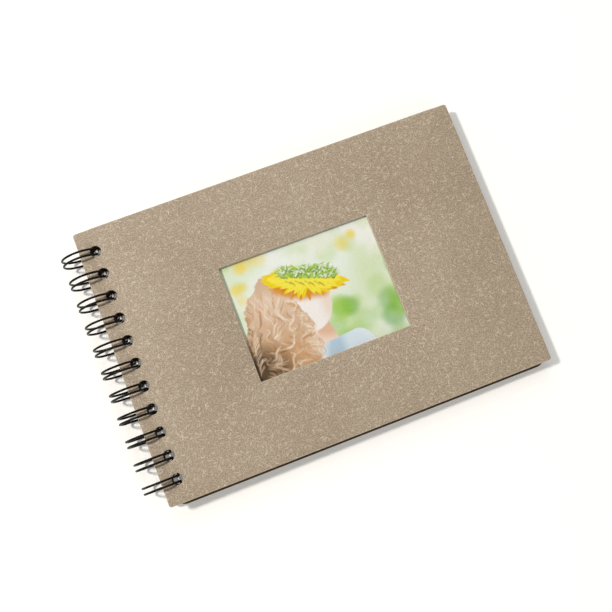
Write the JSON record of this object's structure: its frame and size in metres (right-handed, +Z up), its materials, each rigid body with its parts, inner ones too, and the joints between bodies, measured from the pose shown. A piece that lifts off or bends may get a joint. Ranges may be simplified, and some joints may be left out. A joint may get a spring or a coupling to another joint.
{
  "type": "wire-bound scrapbook album",
  "caption": "Landscape scrapbook album: taupe paper-covered boards, a framed picture window in the front cover, dark card sheets and a row of double wire loops down the spine",
  "frame": {"origin": "centre of the album's bounding box in plan, loops included, at the level of the loops' lowest point", "axes": "+X from the spine to the fore edge, +Y towards the head, +Z up out of the front cover"},
  "size_m": [0.2266, 0.1544, 0.0208],
  "materials": {
    "cover_paper": "taupe pearlescent fibre-flecked paper",
    "grey_board": "grey binder's board",
    "lining_paper": "dark brown lining paper",
    "page_card": "dark brown scrapbook card",
    "photo_paper": null,
    "binding_wire": "dark bronze enamelled steel wire, glossy"
  },
  "bodies": {
    "back_cover": {"back_board": "grey_board", "back_wrap": "cover_paper", "back_liner": "lining_paper"},
    "front_cover": {"front_board": "grey_board", "front_wrap": "cover_paper", "pocket_spacer": "grey_board", "front_liner": "lining_paper"},
    "photo": {"photo_print": "photo_paper"},
    "binding": {"wire_binding": "binding_wire"},
    "sheet_01": {"sheet_01": "page_card"},
    "sheet_02": {"sheet_02": "page_card"},
    "sheet_03": {"sheet_03": "page_card"},
    "sheet_04": {"sheet_04": "page_card"},
    "sheet_05": {"sheet_05": "page_card"},
    "sheet_06": {"sheet_06": "page_card"},
    "sheet_07": {"sheet_07": "page_card"},
    "sheet_08": {"sheet_08": "page_card"},
    "sheet_09": {"sheet_09": "page_card"},
    "sheet_10": {"sheet_10": "page_card"},
    "sheet_11": {"sheet_11": "page_card"},
    "sheet_12": {"sheet_12": "page_card"},
    "sheet_13": {"sheet_13": "page_card"},
    "sheet_14": {"sheet_14": "page_card"}
  },
  "joints": [
    {"name": "front_cover_turn", "type": "hinge", "parent": "back_cover", "child": "front_cover", "pos_m": [-0.10293, 0, 0.0104], "axis": [0, -1, 0], "range_deg": [0, 181]},
    {"name": "binding_turn", "type": "hinge", "parent": "back_cover", "child": "binding", "pos_m": [-0.10293, 0, 0.0104], "axis": [0, -1, 0], "range_deg": [0, 181]},
    {"name": "sheet_01_turn", "type": "hinge", "parent": "back_cover", "child": "sheet_01", "pos_m": [-0.10293, 0, 0.0104], "axis": [0, -1, 0], "range_deg": [0, 178.34]},
    {"name": "sheet_02_turn", "type": "hinge", "parent": "back_cover", "child": "sheet_02", "pos_m": [-0.10293, 0, 0.0104], "axis": [0, -1, 0], "range_deg": [0, 176.07]},
    {"name": "sheet_03_turn", "type": "hinge", "parent": "back_cover", "child": "sheet_03", "pos_m": [-0.10293, 0, 0.0104], "axis": [0, -1, 0], "range_deg": [0, 173.81]},
    {"name": "sheet_04_turn", "type": "hinge", "parent": "back_cover", "child": "sheet_04", "pos_m": [-0.10293, 0, 0.0104], "axis": [0, -1, 0], "range_deg": [0, 171.55]},
    {"name": "sheet_05_turn", "type": "hinge", "parent": "back_cover", "child": "sheet_05", "pos_m": [-0.10293, 0, 0.0104], "axis": [0, -1, 0], "range_deg": [0, 169.28]},
    {"name": "sheet_06_turn", "type": "hinge", "parent": "back_cover", "child": "sheet_06", "pos_m": [-0.10293, 0, 0.0104], "axis": [0, -1, 0], "range_deg": [0, 167.02]},
    {"name": "sheet_07_turn", "type": "hinge", "parent": "back_cover", "child": "sheet_07", "pos_m": [-0.10293, 0, 0.0104], "axis": [0, -1, 0], "range_deg": [0, 164.76]},
    {"name": "sheet_08_turn", "type": "hinge", "parent": "back_cover", "child": "sheet_08", "pos_m": [-0.10293, 0, 0.0104], "axis": [0, -1, 0], "range_deg": [0, 15.44]},
    {"name": "sheet_09_turn", "type": "hinge", "parent": "back_cover", "child": "sheet_09", "pos_m": [-0.10293, 0, 0.0104], "axis": [0, -1, 0], "range_deg": [0, 13.17]},
    {"name": "sheet_10_turn", "type": "hinge", "parent": "back_cover", "child": "sheet_10", "pos_m": [-0.10293, 0, 0.0104], "axis": [0, -1, 0], "range_deg": [0, 10.91]},
    {"name": "sheet_11_turn", "type": "hinge", "parent": "back_cover", "child": "sheet_11", "pos_m": [-0.10293, 0, 0.0104], "axis": [0, -1, 0], "range_deg": [0, 8.65]},
    {"name": "sheet_12_turn", "type": "hinge", "parent": "back_cover", "child": "sheet_12", "pos_m": [-0.10293, 0, 0.0104], "axis": [0, -1, 0], "range_deg": [0, 6.39]},
    {"name": "sheet_13_turn", "type": "hinge", "parent": "back_cover", "child": "sheet_13", "pos_m": [-0.10293, 0, 0.0104], "axis": [0, -1, 0], "range_deg": [0, 4.12]},
    {"name": "sheet_14_turn", "type": "hinge", "parent": "back_cover", "child": "sheet_14", "pos_m": [-0.10293, 0, 0.0104], "axis": [0, -1, 0], "range_deg": [0, 1.86]},
    {"name": "photo_slide", "type": "slide", "parent": "front_cover", "child": "photo", "axis": [0, -1, 0], "range_m": [0, 0.116]}
  ],
  "couplings": [
    {"joint": "binding_turn", "follows": "front_cover_turn", "ratio": 1},
    {"joint": "sheet_01_turn", "follows": "front_cover_turn", "ratio": 0.985},
    {"joint": "sheet_02_turn", "follows": "front_cover_turn", "ratio": 0.9725},
    {"joint": "sheet_03_turn", "follows": "front_cover_turn", "ratio": 0.96},
    {"joint": "sheet_04_turn", "follows": "front_cover_turn", "ratio": 0.9475},
    {"joint": "sheet_05_turn", "follows": "front_cover_turn", "ratio": 0.935},
    {"joint": "sheet_06_turn", "follows": "front_cover_turn", "ratio": 0.9225},
    {"joint": "sheet_07_turn", "follows": "front_cover_turn", "ratio": 0.91},
    {"joint": "sheet_08_turn", "follows": "front_cover_turn", "ratio": 0.085},
    {"joint": "sheet_09_turn", "follows": "front_cover_turn", "ratio": 0.0725},
    {"joint": "sheet_10_turn", "follows": "front_cover_turn", "ratio": 0.06},
    {"joint": "sheet_11_turn", "follows": "front_cover_turn", "ratio": 0.0475},
    {"joint": "sheet_12_turn", "follows": "front_cover_turn", "ratio": 0.035},
    {"joint": "sheet_13_turn", "follows": "front_cover_turn", "ratio": 0.0225},
    {"joint": "sheet_14_turn", "follows": "front_cover_turn", "ratio": 0.01}
  ]
}
